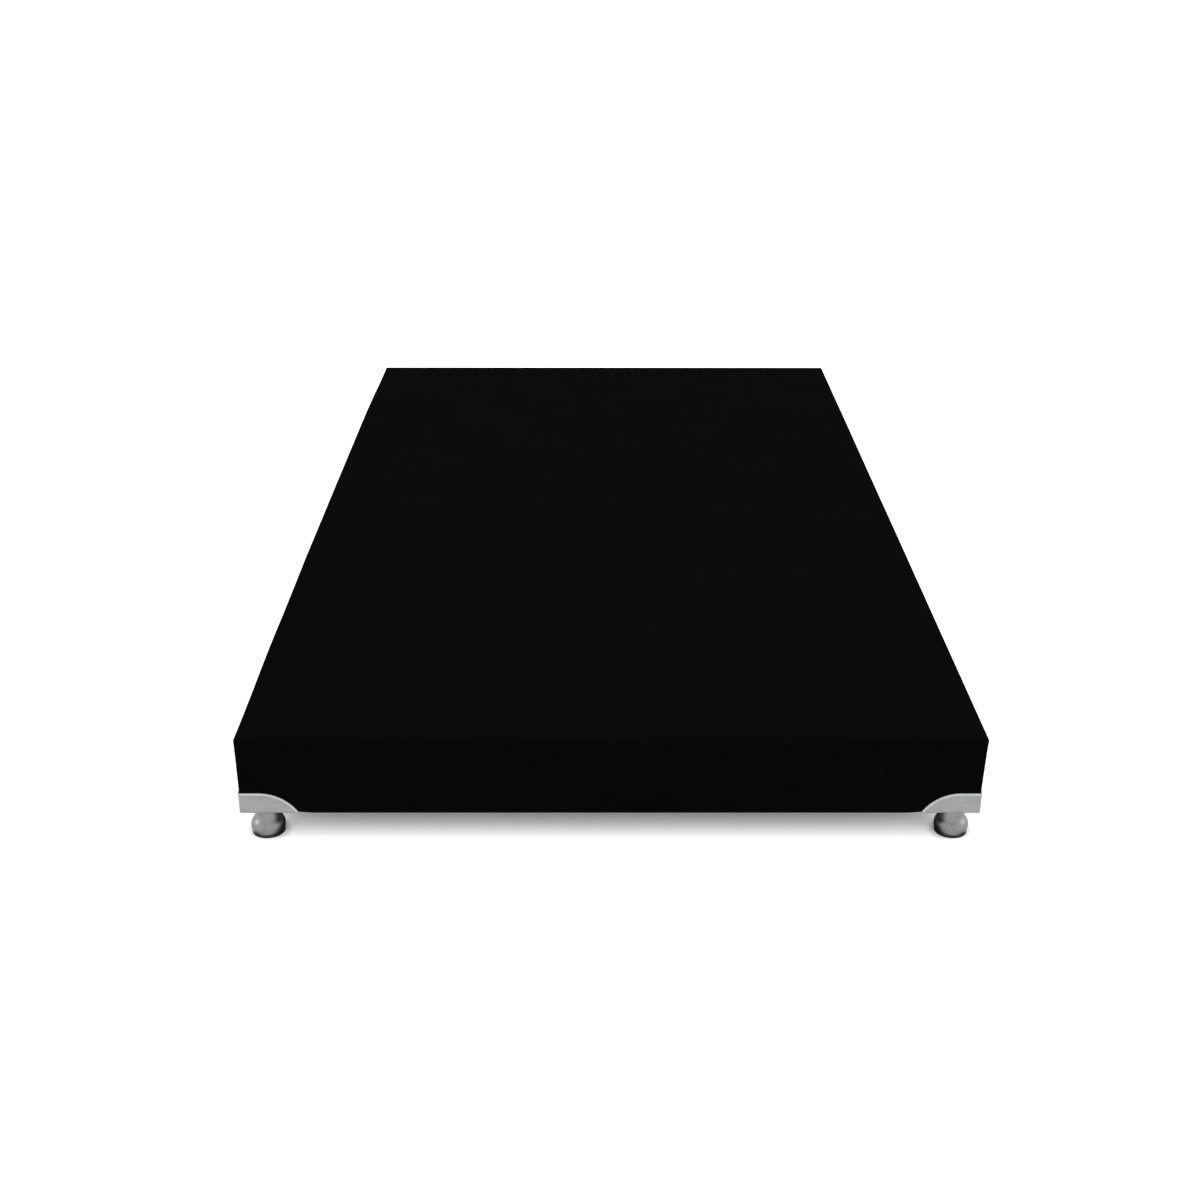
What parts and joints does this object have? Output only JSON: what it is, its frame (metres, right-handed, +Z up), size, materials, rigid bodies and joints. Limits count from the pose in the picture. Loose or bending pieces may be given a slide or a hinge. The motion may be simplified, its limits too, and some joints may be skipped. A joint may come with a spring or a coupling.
{
  "type": "low platform base",
  "caption": "Low rectangular platform base: a fabric-covered timber box on turned screw-in levelling feet, with wrap-round guards on its lower corners.",
  "frame": {"origin": "on the floor under the middle of the base", "axes": "+Z up, Y along the length with the front at -Y, X across the width"},
  "size_m": [1.0528, 1.9028, 0.166],
  "materials": {
    "pine": "planed, unvarnished softwood",
    "hardboard": "smooth hardboard",
    "foam": "open-cell foam",
    "wadding": "bonded polyester wadding",
    "cover_fabric": "close plain-weave upholstery fabric",
    "dust_cloth": "spun-bonded cloth",
    "grey_plastic": "silver-grey moulded plastic, satin",
    "zinc_steel": "zinc plated",
    "plated_metal": "polished plating",
    "black_nylon": "moulded nylon"
  },
  "bodies": {
    "platform": {"side_rail_left": "pine", "side_rail_right": "pine", "end_rail_front": "pine", "end_rail_back": "pine", "centre_rail": "pine", "ledger_left": "pine", "ledger_right": "pine", "slat_01": "pine", "slat_02": "pine", "slat_03": "pine", "slat_04": "pine", "slat_05": "pine", "slat_06": "pine", "slat_07": "pine", "slat_08": "pine", "slat_09": "pine", "slat_10": "pine", "slat_11": "pine", "foot_block_front_left": "pine", "foot_block_front_right": "pine", "foot_block_middle_left": "pine", "foot_block_middle_right": "pine", "foot_block_back_left": "pine", "foot_block_back_right": "pine", "deck_panel": "hardboard", "foam_pad": "foam", "wadding_left": "wadding", "wadding_right": "wadding", "wadding_front": "wadding", "wadding_back": "wadding", "cover_top_panel": "cover_fabric", "cover_band": "cover_fabric", "dust_cover": "dust_cloth", "corner_guard_front_left": "grey_plastic", "corner_guard_front_right": "grey_plastic", "corner_guard_back_left": "grey_plastic", "corner_guard_back_right": "grey_plastic", "tee_nuts": "zinc_steel", "frame_screws": "zinc_steel", "frame_nails": "zinc_steel", "staples": "zinc_steel", "guard_screws": "zinc_steel"},
    "glide_front_left": {"foot_glide_front_left": "black_nylon"},
    "foot_front_left": {"foot_shell_front_left": "plated_metal", "foot_stud_front_left": "zinc_steel"},
    "glide_front_right": {"foot_glide_front_right": "black_nylon"},
    "foot_front_right": {"foot_shell_front_right": "plated_metal", "foot_stud_front_right": "zinc_steel"},
    "glide_middle_left": {"foot_glide_middle_left": "black_nylon"},
    "foot_middle_left": {"foot_shell_middle_left": "plated_metal", "foot_stud_middle_left": "zinc_steel"},
    "glide_middle_right": {"foot_glide_middle_right": "black_nylon"},
    "foot_middle_right": {"foot_shell_middle_right": "plated_metal", "foot_stud_middle_right": "zinc_steel"},
    "glide_back_left": {"foot_glide_back_left": "black_nylon"},
    "foot_back_left": {"foot_shell_back_left": "plated_metal", "foot_stud_back_left": "zinc_steel"},
    "glide_back_right": {"foot_glide_back_right": "black_nylon"},
    "foot_back_right": {"foot_shell_back_right": "plated_metal", "foot_stud_back_right": "zinc_steel"}
  },
  "joints": [
    {"name": "foot_lift_front_left", "type": "slide", "parent": "platform", "child": "glide_front_left", "axis": [0, 0, -1], "range_m": [0, 0.01]},
    {"name": "foot_turn_front_left", "type": "hinge", "parent": "glide_front_left", "child": "foot_front_left", "pos_m": [-0.493, -0.918, 0.03], "axis": [0, 0, -1], "range_deg": [0, 2880]},
    {"name": "foot_lift_front_right", "type": "slide", "parent": "platform", "child": "glide_front_right", "axis": [0, 0, -1], "range_m": [0, 0.01]},
    {"name": "foot_turn_front_right", "type": "hinge", "parent": "glide_front_right", "child": "foot_front_right", "pos_m": [0.493, -0.918, 0.03], "axis": [0, 0, -1], "range_deg": [0, 2880]},
    {"name": "foot_lift_middle_left", "type": "slide", "parent": "platform", "child": "glide_middle_left", "axis": [0, 0, -1], "range_m": [0, 0.01]},
    {"name": "foot_turn_middle_left", "type": "hinge", "parent": "glide_middle_left", "child": "foot_middle_left", "pos_m": [-0.493, 0, 0.03], "axis": [0, 0, -1], "range_deg": [0, 2880]},
    {"name": "foot_lift_middle_right", "type": "slide", "parent": "platform", "child": "glide_middle_right", "axis": [0, 0, -1], "range_m": [0, 0.01]},
    {"name": "foot_turn_middle_right", "type": "hinge", "parent": "glide_middle_right", "child": "foot_middle_right", "pos_m": [0.493, 0, 0.03], "axis": [0, 0, -1], "range_deg": [0, 2880]},
    {"name": "foot_lift_back_left", "type": "slide", "parent": "platform", "child": "glide_back_left", "axis": [0, 0, -1], "range_m": [0, 0.01]},
    {"name": "foot_turn_back_left", "type": "hinge", "parent": "glide_back_left", "child": "foot_back_left", "pos_m": [-0.493, 0.918, 0.03], "axis": [0, 0, -1], "range_deg": [0, 2880]},
    {"name": "foot_lift_back_right", "type": "slide", "parent": "platform", "child": "glide_back_right", "axis": [0, 0, -1], "range_m": [0, 0.01]},
    {"name": "foot_turn_back_right", "type": "hinge", "parent": "glide_back_right", "child": "foot_back_right", "pos_m": [0.493, 0.918, 0.03], "axis": [0, 0, -1], "range_deg": [0, 2880]}
  ],
  "couplings": [
    {"joint": "foot_lift_front_left", "follows": "foot_turn_front_left", "m_per_rad": 0.00019894},
    {"joint": "foot_lift_front_right", "follows": "foot_turn_front_right", "m_per_rad": 0.00019894},
    {"joint": "foot_lift_middle_left", "follows": "foot_turn_middle_left", "m_per_rad": 0.00019894},
    {"joint": "foot_lift_middle_right", "follows": "foot_turn_middle_right", "m_per_rad": 0.00019894},
    {"joint": "foot_lift_back_left", "follows": "foot_turn_back_left", "m_per_rad": 0.00019894},
    {"joint": "foot_lift_back_right", "follows": "foot_turn_back_right", "m_per_rad": 0.00019894}
  ]
}
